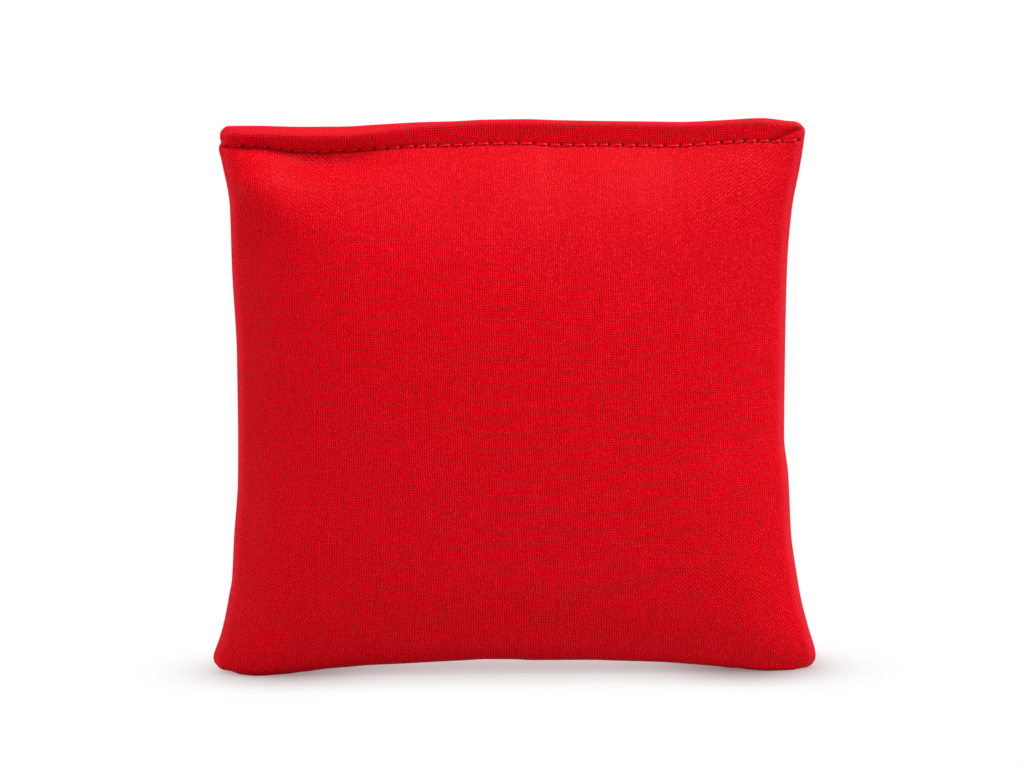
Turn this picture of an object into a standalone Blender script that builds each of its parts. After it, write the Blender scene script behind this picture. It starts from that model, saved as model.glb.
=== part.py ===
"""Toss bean bag: two canvas squares sewn round three sides, filled, folded in at the top and topstitched."""

import math

import bpy
import numpy as np

# Overall size of the filled bag, in metres. It stands on its lower corners, with its front towards -Y.
WIDTH = 0.1524
HEIGHT = 0.1410
THICKNESS = 0.0460

# Cloth, allowances and threads
CLOTH = 0.0008
CLEARANCE = 0.0003
SEAM_ALLOWANCE = 0.0100
FOLD_ALLOWANCE = 0.0120
STITCH_DROP = 0.0060
STITCH_PITCH = 0.00335
THREAD = 0.0004
THREAD_RISE = 0.00025
HEM_PUFF = 0.0008
SEAM_TAIL = 0.0060

# Outline
SIDE_DRAW = 0.0077
FOOT_ARCH = 0.0036
HEM_DIP = 0.0018
LOWER_CORNER = 0.0035
UPPER_CORNER = 0.0012
FOOT_CUT = 0.0005
OVERRUN = 0.0040

# Filling, and its room under the flat facets of the cloth
FILL_ROOM = 0.0009
FILL_INSET = 0.0035
FILL_CORNER = 0.0140

# How far each side is drawn in, as (share of the height, share of SIDE_DRAW)
LEFT_SHARES = ((0.0, 0.0), (0.04, 0.0), (0.13, 0.46), (0.24, 0.74), (0.42, 0.90), (0.62, 0.84), (0.83, 0.68),
               (0.94, 0.38), (1.0, 0.30))
RIGHT_SHARES = ((0.0, 0.0), (0.04, 0.0), (0.13, 0.48), (0.24, 0.76), (0.42, 1.0), (0.62, 0.96), (0.83, 0.72),
                (0.94, 0.36), (1.0, 0.26))
# How far the lower edge arches up, as (share of the width, share of FOOT_ARCH)
ARCH_SHARES = ((0.0, 0.0), (0.12, 0.0), (0.22, 0.48), (0.34, 0.84), (0.47, 1.0), (0.62, 0.90), (0.76, 0.60),
               (0.88, 0.0), (1.0, 0.0))
# How far the top fold dips, as (share of the width, share of HEM_DIP)
DIP_SHARES = ((0.0, 0.8), (0.14, 1.0), (0.33, 0.3), (0.49, 0.0), (0.72, 0.55), (0.9, 0.1), (1.0, 0.9))
# Where the lower edge is pressed flat on the ground, as (share of the width, share of the full pressing)
FOOT_SHARES = ((0.0, 0.0), (0.02, 0.0), (0.055, 1.0), (0.15, 1.0), (0.24, 0.0), (0.5, 0.0), (0.76, 0.0),
               (0.85, 1.0), (0.945, 1.0), (0.98, 0.0), (1.0, 0.0))
# Powers of the crown's section: across the bag, up from the lower seam, and down from the closing stitch
ACROSS_POWER_SHARES = (2.4, 0.42)
FOOT_POWER_SHARES = (4.0, 0.36)
STITCH_POWER_SHARES = (3.5, 0.8)

# Counts
COLUMNS = 16
ROWS = 14
FILL_CELLS = 14
THREAD_STEPS = 4

# Radius of the roll where the cloth turns in: round the seam thread at the seams, tight at the top fold
SEAM_ROLL = (CLOTH + THREAD) / 2 + CLEARANCE
HEM_ROLL = (CLOTH + CLEARANCE) / 2
# Middle of the turned-in cloth, from the bag's middle plane
ALLOWANCE_Y = (CLEARANCE + CLOTH) / 2
# The sheets below are the middle of the cloth, so they stop half a cloth short of the outer sizes
HALF_WIDTH = (WIDTH - CLOTH) / 2
FOOT_Z = CLOTH / 2 - FOOT_CUT
TOP_Z = HEIGHT - CLOTH / 2
SPAN = TOP_Z - FOOT_Z
STITCH_UP = 1 - (STITCH_DROP - CLOTH / 2) / SPAN
SEAM_END_UP = STITCH_UP - SEAM_TAIL / SPAN

CANVAS = {"color": (0.58, 0.0045, 0.0125, 1.0), "roughness": 0.88}
THREAD_RED = {"color": (0.62, 0.012, 0.024, 1.0), "roughness": 0.60}
BEANS = {"color": (0.72, 0.58, 0.38, 1.0), "roughness": 0.55}


def clear_scene():
    for thing in list(bpy.data.objects):
        bpy.data.objects.remove(thing, do_unlink=True)


def smooth(share):
    """Eased step from 0 to 1."""
    share = np.clip(share, 0.0, 1.0)
    return share * share * (3.0 - 2.0 * share)


def through(shares, at):
    """Smooth curve through a table of (place, value): cubic pieces that stay between the points they join."""
    places, values = np.array(shares).T
    steps = np.diff(values) / np.diff(places)
    before, after = steps[:-1], steps[1:]
    same_way = before * after > 0.0
    inner = np.where(same_way, 2.0 * before * after / np.where(same_way, before + after, 1.0), 0.0)
    slopes = np.concatenate([steps[:1], inner, steps[-1:]])
    at = np.clip(np.asarray(at, float), places[0], places[-1])
    piece = np.clip(np.searchsorted(places, at, side="right") - 1, 0, len(places) - 2)
    length = places[piece + 1] - places[piece]
    part = (at - places[piece]) / length
    rest = 1.0 - part
    start = values[piece] * (1.0 + 2.0 * part) + slopes[piece] * length * part
    end = values[piece + 1] * (1.0 + 2.0 * rest) - slopes[piece + 1] * length * rest
    return rest * rest * start + part * part * end


def corner_inset(distance, radius):
    """How far a quarter-round corner lies inside its square, that far along the edge from the arc's middle."""
    left = np.clip(radius * math.sqrt(0.5) - distance, 0.0, None)
    return radius - np.sqrt(radius * radius - left * left)


def plane_point(across, up, side=0.0, lower=0.0, upper=0.0):
    """Place in the front view, X and Z, of shares of the width and height, inside the edges by real distances."""
    low_round = max(LOWER_CORNER - np.max(lower), 0.0)
    high_round = max(UPPER_CORNER - np.max(upper), 0.0)
    rounded = corner_inset(up * SPAN, low_round) + corner_inset((1.0 - up) * SPAN, high_round)
    left = side - HALF_WIDTH + SIDE_DRAW * through(LEFT_SHARES, up) + rounded
    right = HALF_WIDTH - side - SIDE_DRAW * through(RIGHT_SHARES, up) - rounded
    nearest = np.minimum(across, 1.0 - across) * 2.0 * HALF_WIDTH
    bottom = FOOT_Z + lower + FOOT_ARCH * through(ARCH_SHARES, across) + corner_inset(nearest, low_round)
    top = TOP_Z - upper - HEM_DIP * through(DIP_SHARES, across) - corner_inset(nearest, high_round)
    return left + across * (right - left), bottom + up * (top - bottom)


def pressing(across, up):
    """How far the face is let down at this place, so that the corners' underside lies flat on the ground."""
    full = SEAM_ROLL * through(FOOT_SHARES, across)
    return np.minimum(full, up * SPAN) * smooth((STITCH_UP - up) / STITCH_UP)


def roll_radius(up):
    """Radius of the turned edge at this height: the seam's, easing to the top fold's above the side thread."""
    return SEAM_ROLL + (HEM_ROLL - SEAM_ROLL) * smooth((up - SEAM_END_UP) / (STITCH_UP - SEAM_END_UP))


def raw_crown(across, up):
    """Unscaled swell of one face, 0 at the three seams and at the closing stitch."""
    power, root = ACROSS_POWER_SHARES
    wide = np.clip(1.0 - np.abs(2.0 * across - 1.0) ** power, 0.0, 1.0) ** root
    power, root = FOOT_POWER_SHARES
    foot = np.clip(1.0 - (1.0 - up) ** power, 0.0, 1.0) ** root
    power, root = STITCH_POWER_SHARES
    stitch = np.clip(1.0 - (np.clip(up, 0.0, None) / STITCH_UP) ** power, 0.0, 1.0) ** root
    return wide * foot * stitch


def crown(across, up):
    """Swell of one face, so that the two faces together have the bag's thickness."""
    full = raw_crown(np.full(ROWS * ROWS, 0.5), np.linspace(0.0, STITCH_UP, ROWS * ROWS)).max()
    height = (THICKNESS - CLOTH) / 2 - ALLOWANCE_Y - SEAM_ROLL
    return height * raw_crown(across, up) / full


def hem_puff(across, up):
    """Soft swell of the folded band between the closing stitch and the top fold."""
    share = np.clip((up - STITCH_UP) / (1.0 - STITCH_UP), 0.0, 1.0)
    wide = np.clip(1.0 - np.abs(2.0 * across - 1.0) ** COLUMNS, 0.0, 1.0)
    return HEM_PUFF * np.sin(math.pi * share) * wide


def inset_shares(across, up, side, lower, upper):
    """Shares moved inwards by real distances from the sides, the lower edge and the top."""
    side = side / (2.0 * HALF_WIDTH)
    lower = lower / SPAN
    upper = upper / SPAN
    return side + across * (1.0 - 2.0 * side), lower + up * (1.0 - lower - upper)


def face_sheet(across, up, gone=1.0):
    """Middle of the cloth over one face: X, distance from the middle plane, and Z.

    gone says how far inwards the sheet's own edge lies: 0 on the outermost line of the roll, 1 past its quarter turn.
    """
    roll = roll_radius(up)
    insets = (roll * gone, SEAM_ROLL * gone, HEM_ROLL * gone)
    x, z = plane_point(across, up, *insets)
    at = inset_shares(across, up, *insets)
    turned = roll * math.sqrt(1.0 - (1.0 - gone) ** 2)
    y = ALLOWANCE_Y + roll + np.hypot(turned, crown(*at) + hem_puff(*at))
    return x, y, z - pressing(*at)


def turned_sheet(across, up, gone):
    """The same on the turned-in half of the roll, which ends in the middle of the allowance."""
    roll = roll_radius(up)
    x, z = plane_point(across, up, roll * gone, SEAM_ROLL * gone, HEM_ROLL * gone)
    return x, ALLOWANCE_Y + roll * (1.0 - math.sqrt(1.0 - (1.0 - gone) ** 2)), z


def spaced(count):
    """Shares from 0 to 1, closer together at both ends."""
    return (1.0 - np.cos(np.linspace(0.0, math.pi, count + 1))) / 2.0


def sheet_lines():
    """Shares of a face's columns and rows, inside its rolled edges, with two rows over the folded band."""
    stitch = (STITCH_UP * SPAN - SEAM_ROLL) / (SPAN - SEAM_ROLL - HEM_ROLL)
    return spaced(COLUMNS), np.concatenate([spaced(ROWS) * stitch, [(1.0 + stitch) / 2.0, 1.0]])


def boundary_shares(columns, rows):
    """Shares once round the edge, anticlockwise in the front view from the lower left corner."""
    bottom = [(c, rows[0]) for c in columns[:-1]]
    right = [(columns[-1], r) for r in rows[:-1]]
    top = [(c, rows[-1]) for c in columns[:0:-1]]
    left = [(columns[0], r) for r in rows[:0:-1]]
    return np.array(bottom + right + top + left).T


def boundary_indices(wide, high):
    """Vertex numbers once round a grid of wide by high points, in the order of boundary_shares."""
    bottom = list(range(wide - 1))
    right = [row * wide + wide - 1 for row in range(high - 1)]
    top = [(high - 1) * wide + column for column in range(wide - 1, 0, -1)]
    left = [row * wide for row in range(high - 1, 0, -1)]
    return bottom + right + top + left


def grid_faces(wide, high):
    return [(row * wide + column, row * wide + column + 1, (row + 1) * wide + column + 1, (row + 1) * wide + column)
            for row in range(high - 1) for column in range(wide - 1)]


def ring_faces(outer, inner):
    """Faces between two rings of the same count, the inner one further round the turned edge."""
    count = len(outer)
    return [(outer[(k + 1) % count], outer[k], inner[k], inner[(k + 1) % count]) for k in range(count)]


def add_object(name, mesh, finish):
    material = bpy.data.materials.new(name)
    material.use_nodes = True
    shader = material.node_tree.nodes["Principled BSDF"]
    shader.inputs["Base Color"].default_value = finish["color"]
    shader.inputs["Roughness"].default_value = finish["roughness"]
    shader.inputs["Metallic"].default_value = 0.0
    thing = bpy.data.objects.new(name, mesh)
    mesh.materials.append(material)
    bpy.context.scene.collection.objects.link(thing)
    return thing


def smooth_mesh(name, points, faces):
    mesh = bpy.data.meshes.new(name)
    mesh.from_pydata([tuple(point) for point in points], [], faces)
    mesh.update()
    mesh.shade_smooth()
    return mesh


def side_view(points, faces, side):
    """Puts points given as (X, distance from the middle, Z) on the front, -1, or the back, +1."""
    points = points * np.array([1.0, side, 1.0])
    if side > 0:
        faces = [tuple(reversed(face)) for face in faces]
    return points, faces


def panel(name, side, cutter):
    """One canvas square: crowned face, folded band, rolled edge and the allowance turned in all round."""
    columns, rows = sheet_lines()
    across, up = np.meshgrid(columns, rows)
    edge = boundary_shares(columns, rows)
    half_turn = 1.0 - math.sqrt(0.5)
    x, z = plane_point(*edge, SEAM_ALLOWANCE, SEAM_ALLOWANCE, FOLD_ALLOWANCE)
    rings = [face_sheet(*edge, half_turn), face_sheet(*edge, 0.0), turned_sheet(*edge, half_turn),
             turned_sheet(*edge, 1.0), (x, np.full_like(x, ALLOWANCE_Y), z)]
    points = [np.stack(face_sheet(across.ravel(), up.ravel()), axis=1)]
    faces = grid_faces(len(columns), len(rows))
    ring = boundary_indices(len(columns), len(rows))
    start = len(points[0])
    for places in rings:
        points.append(np.stack(places, axis=1))
        following = list(range(start, start + len(ring)))
        faces += ring_faces(ring, following)
        ring = following
        start += len(following)
    points, faces = side_view(np.concatenate(points), faces, side)
    thing = add_object(name, smooth_mesh(name, points, faces), CANVAS)
    wall = thing.modifiers.new("cloth", "SOLIDIFY")
    wall.thickness = CLOTH
    wall.offset = 0.0
    wall.use_even_offset = True
    flat = thing.modifiers.new("feet", "BOOLEAN")
    flat.operation = "DIFFERENCE"
    flat.solver = "EXACT"
    flat.object = cutter
    return thing


def ground_cutter():
    """Block under the ground, which cuts the pressed corners flat."""
    half_x = HALF_WIDTH + OVERRUN
    half_y = THICKNESS / 2 + OVERRUN
    points = [(x, y, z) for z in (-OVERRUN, 0.0) for y in (-half_y, half_y) for x in (-half_x, half_x)]
    faces = [(0, 2, 3, 1), (4, 5, 7, 6), (0, 1, 5, 4), (2, 6, 7, 3), (0, 4, 6, 2), (1, 3, 7, 5)]
    mesh = bpy.data.meshes.new("ground_cutter")
    mesh.from_pydata(points, [], faces)
    cutter = bpy.data.objects.new("ground_cutter", mesh)
    bpy.context.scene.collection.objects.link(cutter)
    cutter.hide_render = True
    cutter.display_type = "WIRE"
    return cutter


def rounded_shares(across, up, radius):
    """Unit square drawn in at its corners, as a round corner of that radius would be."""
    wide = 2.0 * HALF_WIDTH
    left = corner_inset(np.minimum(up, 1.0 - up) * SPAN, radius) / wide
    low = corner_inset(np.minimum(across, 1.0 - across) * wide, radius) / SPAN
    return left + across * (1.0 - 2.0 * left), low + up * (1.0 - 2.0 * low)


def inner_sheet(across, up):
    """Surface of the filling under a face: the cloth's middle, moved in by half a cloth and the filling's room."""
    step = CLEARANCE / WIDTH
    here = np.stack(face_sheet(across, up), axis=1)
    along = np.stack(face_sheet(across + step, up), axis=1) - here
    rising = np.stack(face_sheet(across, up + step), axis=1) - here
    outward = np.cross(rising, along)
    outward /= np.linalg.norm(outward, axis=1)[:, None]
    return here - outward * (CLOTH / 2 + FILL_ROOM)


def bean_fill(name):
    """The filling as one body: two crowns, with a slot round the rim that the turned-in cloth lies in."""
    cells = spaced(FILL_CELLS)
    across, up = np.meshgrid(cells, cells)
    top_inset = STITCH_DROP + FILL_INSET
    inset = (FILL_INSET, FILL_INSET, top_inset)

    def shares(a, b):
        return inset_shares(*rounded_shares(a, b, FILL_CORNER), *inset)

    front = inner_sheet(*shares(across.ravel(), up.ravel()))
    edge = shares(*boundary_shares(cells, cells))
    ring = boundary_indices(len(cells), len(cells))
    slot_y = ALLOWANCE_Y + CLOTH / 2 + CLEARANCE
    lip = front[ring] * np.array([1.0, 0.0, 1.0]) + np.array([0.0, slot_y, 0.0])
    depth = SEAM_ALLOWANCE + CLOTH
    fold = FOLD_ALLOWANCE + CLOTH
    x, z = plane_point(*boundary_shares(cells, cells), depth, depth, fold)
    root = np.stack([x, np.full_like(x, slot_y), z], axis=1)
    half = np.concatenate([front, lip, root])
    wide = len(cells)
    lip_ring = list(range(len(front), len(front) + len(ring)))
    root_ring = [index + len(ring) for index in lip_ring]
    faces = grid_faces(wide, wide) + ring_faces(ring, lip_ring) + ring_faces(lip_ring, root_ring)
    points, faces = side_view(half, faces, -1)
    other, other_faces = side_view(half, grid_faces(wide, wide) + ring_faces(ring, lip_ring)
                                   + ring_faces(lip_ring, root_ring), 1)
    count = len(half)
    faces = faces + [tuple(index + count for index in face) for face in other_faces]
    back_root = [index + count for index in root_ring]
    faces += ring_faces(root_ring, back_root)
    return add_object(name, smooth_mesh(name, np.concatenate([points, other]), faces), BEANS)


def thread_along(name, points):
    """A sewing thread: a round tube along its points, closed at both ends."""
    line = bpy.data.curves.new(name, "CURVE")
    line.dimensions = "3D"
    line.bevel_depth = THREAD / 2
    line.bevel_resolution = 1
    line.use_fill_caps = True
    spline = line.splines.new("POLY")
    spline.points.add(len(points) - 1)
    spline.points.foreach_set("co", np.c_[points, np.ones(len(points))].ravel())
    spline.use_smooth = True
    return add_object(name, line, THREAD_RED)


def closing_thread(name, side):
    """Topstitch thread across one face: a low arch for each stitch, down to the cloth at each needle hole."""
    run = 2.0 * (HALF_WIDTH - SIDE_DRAW * LEFT_SHARES[-1][1])
    count = int((run - 2.0 * SEAM_ROLL) / STITCH_PITCH)
    margin = (run - count * STITCH_PITCH) / 2.0
    phase = np.arange(count * THREAD_STEPS + 1) / THREAD_STEPS
    across = (margin + phase * STITCH_PITCH) / run
    x, z = plane_point(across, np.full_like(across, STITCH_UP))
    arch = np.abs(np.sin(math.pi * phase))
    seat = ALLOWANCE_Y + 2.0 * HEM_ROLL + CLOTH / 2 + CLEARANCE + THREAD / 2
    return thread_along(name, np.stack([x, side * (seat + THREAD_RISE * arch), z], axis=1))


def seam_thread(name, side):
    """Thread of the turned seam, in the roll of one panel: down one side, along the foot and up the other."""
    columns, rows = sheet_lines()
    rows = rows[rows < SEAM_END_UP]
    left = [(columns[0], row) for row in rows[:0:-1]]
    foot = [(column, rows[0]) for column in columns[:-1]]
    right = [(columns[-1], row) for row in rows]
    across, up = np.array(left + foot + right).T
    x, z = plane_point(across, up, SEAM_ROLL, SEAM_ROLL, HEM_ROLL)
    y = np.full_like(x, side * (ALLOWANCE_Y + SEAM_ROLL))
    return thread_along(name, np.stack([x, y, z], axis=1))


def build():
    clear_scene()
    cutter = ground_cutter()
    panel("front_panel", -1, cutter)
    panel("back_panel", 1, cutter)
    bean_fill("bean_fill")
    closing_thread("closing_needle_thread", -1)
    closing_thread("closing_bobbin_thread", 1)
    seam_thread("seam_needle_thread", -1)
    seam_thread("seam_bobbin_thread", 1)


build()
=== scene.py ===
"""Looks of the toss bean bag: two canvas squares, their stitching, and the beans inside."""

import math

import bpy
import numpy as np
from mathutils import Matrix, Vector


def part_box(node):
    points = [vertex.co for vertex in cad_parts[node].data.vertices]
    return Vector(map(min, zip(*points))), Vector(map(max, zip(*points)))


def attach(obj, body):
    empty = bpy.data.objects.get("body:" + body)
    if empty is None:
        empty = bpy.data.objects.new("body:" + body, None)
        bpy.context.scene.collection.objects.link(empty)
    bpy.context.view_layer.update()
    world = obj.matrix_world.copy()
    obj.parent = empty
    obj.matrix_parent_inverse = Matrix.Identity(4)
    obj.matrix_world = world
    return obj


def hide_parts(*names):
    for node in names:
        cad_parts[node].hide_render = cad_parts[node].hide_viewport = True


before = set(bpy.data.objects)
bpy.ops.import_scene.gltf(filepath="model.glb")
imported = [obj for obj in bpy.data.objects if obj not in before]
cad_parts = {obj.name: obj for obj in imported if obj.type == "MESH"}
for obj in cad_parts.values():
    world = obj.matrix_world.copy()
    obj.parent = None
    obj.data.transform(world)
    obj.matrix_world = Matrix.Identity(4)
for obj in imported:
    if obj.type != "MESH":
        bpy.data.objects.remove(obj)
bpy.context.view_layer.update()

# Sizes of the filled bag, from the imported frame, in metres. The front faces -Y.
panel_low, panel_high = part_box("front_panel")
WIDTH = panel_high[0] - panel_low[0]
HALF_WIDTH = WIDTH / 2
HEIGHT = panel_high[2]
HALF_THICKNESS = -panel_low[1]

# Cloth, seams and threads
CLOTH = 0.0007
GAP = 0.00002
SEAM_ROLL = 0.0013
HEM_ROLL = 0.00095
FAT_ROLL = 0.00080
SEAM_ALLOWANCE = 0.0100
FOLD_ALLOWANCE = 0.0120
STITCH_DROP = 0.0060
STITCH_PITCH = 0.00335
FOLD_FROM, FOLD_OVER = 0.96, 0.08
THREAD = 0.00040
THREAD_DIVE = 0.00080
THREAD_SLOPE = 0.46
THREAD_SINK = 0.10
PLY_PITCH = 0.0011
PLY_DEPTH = 0.10
THREAD_TIP = 0.05
STITCH_SLANT = 0.00026
YARN = 0.000577
# Painted sheen: its width along the sides, and its share and width along the top fold
RIM_SHEEN_WIDTH = 0.0009
TOP_SHEEN_SHARE = 0.8
TOP_SHEEN_WIDTH = 0.0004

BODY_HEIGHT = HEIGHT - STITCH_DROP

# Outline, and the relief of the hem and the closing stitch
SIDE_DRAW = 0.0077
FOOT_ARCH = 0.0030
HEM_DIP = 0.0025
LOWER_CORNER = 0.0030
UPPER_LEFT_CORNER = 0.0021
UPPER_RIGHT_CORNER = 0.0030
HEM_PUFF = 0.00010
FAT_PUFF = 0.0020
PUFF_POWER = 1.25
GROOVE = 0.00007
DEEP_GROOVE = 0.00075
GROOVE_WIDTH = 0.0008
VALLEY_WIDTH = 0.0046
VALLEY_SHARE = 0.75
CREASE = 0.00004
CREASE_WIDTH = 0.00030
CREASE_DROP = 0.00032
CREASE_SHADE = 0.09
CREASE_REACH = ((0.04, 0.12), (0.93, 0.2))
HOLE_DEPTH = 0.00075
HOLE_WIDTH = 0.00036
STITCH_MARGIN = 0.0004
STITCH_REACH = ((0.08, 0.24), (0.90, 0.07))
HOLE_DRIFTS = ((0.20, 0.55, 0.6), (0.07, 1.9, 0.0))
NOTCH = 0.00045
NOTCH_RISE = 0.0010
TUCK_DEPTH = 0.0008
TUCK_WIDTH = 0.0014
SHOULDER = 0.00095
SHOULDER_DROP = 0.0030
SHOULDER_WIDTH = 0.0019

# How far each side is drawn in, as (share of the height, share of SIDE_DRAW)
LEFT_SHARES = ((0.0, -0.13), (0.02, -0.14), (0.043, -0.01), (0.061, 0.11), (0.097, 0.28),
               (0.133, 0.41), (0.165, 0.52), (0.24, 0.61), (0.35, 0.77), (0.46, 0.80), (0.57, 0.80),
               (0.73, 0.68), (0.84, 0.64), (0.925, 0.385), (0.945, 0.31), (0.957, 0.33), (0.968, 0.362),
               (0.985, 0.37), (1.0, 0.35))
RIGHT_SHARES = ((0.0, -0.05), (0.02, -0.03), (0.066, 0.20), (0.122, 0.46), (0.177, 0.63),
                (0.24, 0.79), (0.35, 0.89), (0.42, 1.03), (0.59, 1.0), (0.73, 0.94), (0.83, 0.79),
                (0.91, 0.52), (0.96, 0.385), (1.0, 0.33))
# How far the lower edge lies above the ground, as (share of the width, share of FOOT_ARCH)
ARCH_SHARES = ((0.0, 0.22), (0.03, 0.10), (0.065, 0.0), (0.08, 0.04), (0.106, 0.15), (0.133, 0.24),
               (0.16, 0.33), (0.188, 0.42), (0.215, 0.51), (0.256, 0.67), (0.297, 0.75), (0.365, 0.92),
               (0.42, 1.05), (0.45, 1.12), (0.50, 1.09), (0.53, 1.01), (0.62, 0.99), (0.68, 0.88),
               (0.74, 0.75), (0.80, 0.50), (0.83, 0.36), (0.885, 0.20), (0.93, 0.0), (0.966, 0.0),
               (0.98, 0.03), (1.0, 0.08))
# How far the top fold lies below the full height, as (share of the width, share of HEM_DIP)
DIP_SHARES = ((0.0, 0.85), (0.05, 0.86), (0.14, 1.0), (0.2, 1.0), (0.27, 0.80), (0.34, 0.60),
              (0.40, 0.52), (0.45, 0.39), (0.52, 0.36), (0.575, 0.48), (0.66, 0.60), (0.74, 0.68),
              (0.79, 0.74), (0.86, 0.60), (0.93, 0.41), (0.955, 0.54), (0.975, 0.70), (1.0, 0.80))
# How far the closing stitch lies below the top fold, as (share of the width, share of STITCH_DROP)
DROP_SHARES = ((0.0, 0.80), (0.06, 0.82), (0.11, 0.94), (0.13, 0.97), (0.17, 1.0), (0.21, 0.96),
               (0.3, 0.98), (0.4, 0.99), (0.54, 1.0), (0.57, 1.03), (0.66, 0.985), (0.75, 1.0),
               (0.86, 0.935), (0.93, 0.93), (0.955, 0.90), (0.975, 0.82), (1.0, 0.74))
# How plump the hem's roll is, as (share of the width, share of FAT_ROLL)
PLUMP_SHARES = ((0.0, 0.60), (0.05, 0.90), (0.16, 1.0), (0.23, 0.90), (0.30, 0.50), (0.38, 0.12),
                (0.5, 0.05), (0.8, 0.05), (0.93, 0.15), (1.0, 0.1))
# How far the cloth is held back below the stitch, as (share of the width, share of VALLEY_SHARE)
VALLEY_SHARES = ((0.0, 0.0), (0.06, 0.12), (0.12, 0.55), (0.17, 0.95), (0.22, 1.05), (0.28, 0.5),
                 (0.34, 0.05), (0.5, 0.0), (1.0, 0.0))
# How far the cloth stands up just below the stitch, as (share of the width, share of SHOULDER)
SHOULDER_SHARES = ((0.0, 0.0), (0.02, 0.8), (0.06, 1.0), (0.10, 0.7), (0.15, 0.0), (1.0, 0.0))
# Where the lower edge is pressed flat on the ground, as (share of the width, share of the full pressing)
FOOT_SHARES = ((0.0, 0.0), (0.02, 0.0), (0.05, 0.8), (0.09, 0.8), (0.20, 0.0), (0.5, 0.0), (0.82, 0.0),
               (0.915, 0.8), (0.955, 0.8), (0.985, 0.0), (1.0, 0.0))
# Powers of the crown's section: across the bag, up from the lower seam, and down from the closing stitch
ACROSS_POWER_SHARES = (2.15, 0.41)
FOOT_POWER_SHARES = (5.6, 0.32)
STITCH_POWER_SHARES = (6.2, 0.92)
# How far the fullest part lies to the left of the middle, as a share of half the width
LEAN_SHARE = 0.12
# Soft swells of the filling: share of the width, level, half width and half height in metres, and height
SWELLS = ((0.10, 0.915, 0.023, 0.0135, 0.0025),
          (0.038, 0.935, 0.011, 0.010, 0.0022),
          (0.72, 0.930, 0.034, 0.009, 0.0004),
          (0.30, 0.42, 0.020, 0.034, 0.0003),
          (0.80, 0.30, 0.022, 0.030, 0.0003),
          (0.05, 0.07, 0.020, 0.034, 0.0020))
# They fade out where the crown is lower than this many radii of the seam's roll
SWELL_FADE = 4.0
# The tuck at the hem's right end: shares of the width at the closing stitch and at the top fold
TUCK_SHARES = (0.9545, 1.0)
# The levels it begins and ends at, each with the rise it is eased over
TUCK_REACH = ((0.98, 0.125), (2.0, 1.0 / 3.0))
# The low roll beside it: how far off and how wide in tuck widths, level, half height, share of its depth
TUCK_ROLL = (2.2, 1.2, 1.12, 0.16, 0.3)
# Where the sheet's columns lie along each stitch, closest together by the needle holes
STITCH_STEPS = (0.0, 0.045, 0.09, 0.16, 0.27, 0.40, 0.54, 0.68, 0.80, 0.885, 0.945)

# Where the weave is drawn askew, towards the corners: share of the width, level, reach, and the way it runs
BIAS_SPOTS = ((0.14, 0.955, 0.105, 0.8), (0.90, 0.93, 0.11, -1.0),
              (0.13, 0.17, 0.14, -0.8), (0.88, 0.16, 0.14, 0.8))
# Where light is painted on the cloth, paler and smoother towards the lit top: level, over what rise, how much
# the right leads, how much paler it is all the way down, and over what rise above the stitch it ends
LIT_FROM, LIT_OVER, LIT_LEAN, LIT_RIGHT, LIT_END = 0.70, 0.25, 0.24, 0.3, 0.125
# Where painted shade darkens the hem's band towards the fold: level, and over what rise
BAND_FROM, BAND_OVER = 1.5, 0.5
# Where the painted sheen on the sides' edges is paler, to the left: share of the width, and over what share
LEFT_SHEEN_TO, LEFT_SHEEN_OVER = 0.6, 0.2
# Where the painted shade in the needle holes grows dark: least depth, share of the width, and over what share
PIT_LEAST, PIT_FROM, PIT_OVER = 0.35, 0.22, 0.2

# The cloth simulation
SETTLE_COLUMNS = 53
SETTLE_ROWS = 49
SETTLE_FRAMES = 20
SETTLE_BENDING = 12.0
SETTLE_SHRINK = -0.003
SETTLE_CAP = 0.0005
SETTLE_QUALITY = 7
SETTLE_TENSION = 15.0
SETTLE_SHEAR = 7.5
SETTLE_PRESSURE = 4.0
SETTLE_EVENINGS = 3

# Counts of the fine sheet and the threads, and how far the body's rows are eased
MARGIN_COLUMNS = 4
BODY_ROWS = 78
EASED_ROWS = 0.45
SEAM_ROWS = 12
HEM_ROWS = 14
ROLL_STEPS = 8
THREAD_SIDES = 10
STEPS_PER_STITCH = 26


def smooth(share):
    """Eased step from 0 to 1: 3x² - 2x³."""
    share = np.clip(share, 0.0, 1.0)
    return share * share * (3.0 - 2.0 * share)


def bell(distance, width):
    """Soft bump: e to the minus (distance over width) squared."""
    return np.exp(-(distance / width) ** 2)


def through(shares, at):
    """Smooth curve through a table of (place, value).

    Each piece is a cubic that stays between the two points it joins: the slope at a point is the harmonic
    mean of the slopes on both sides, or 0 where they differ in sign.
    """
    places, values = np.array(shares).T
    steps = np.diff(values) / np.diff(places)
    before, after = steps[:-1], steps[1:]
    same_way = before * after > 0.0
    inner = np.where(same_way, 2.0 * before * after / np.where(same_way, before + after, 1.0), 0.0)
    slopes = np.concatenate([steps[:1], inner, steps[-1:]])
    at = np.clip(np.asarray(at, float), places[0], places[-1])
    piece = np.clip(np.searchsorted(places, at, side="right") - 1, 0, len(places) - 2)
    length = places[piece + 1] - places[piece]
    part = (at - places[piece]) / length
    rest = 1.0 - part
    start = values[piece] * (1.0 + 2.0 * part) + slopes[piece] * length * part
    end = values[piece + 1] * (1.0 + 2.0 * rest) - slopes[piece + 1] * length * rest
    return rest * rest * start + part * part * end


def corner_inset(distance, radius):
    """How far a quarter-round corner lies inside its square, that far along the edge from the arc's middle.

    It is r minus the root of (r² - left²), where left is r over the root of 2, less the distance, and at
    least 0.
    """
    left = np.clip(radius * math.sqrt(0.5) - np.clip(distance, 0.0, None), 0.0, None)
    return radius - np.sqrt(radius * radius - left * left)


def foot_line(across):
    """Height of the lower edge over the ground."""
    return FOOT_ARCH * through(ARCH_SHARES, across)


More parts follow.
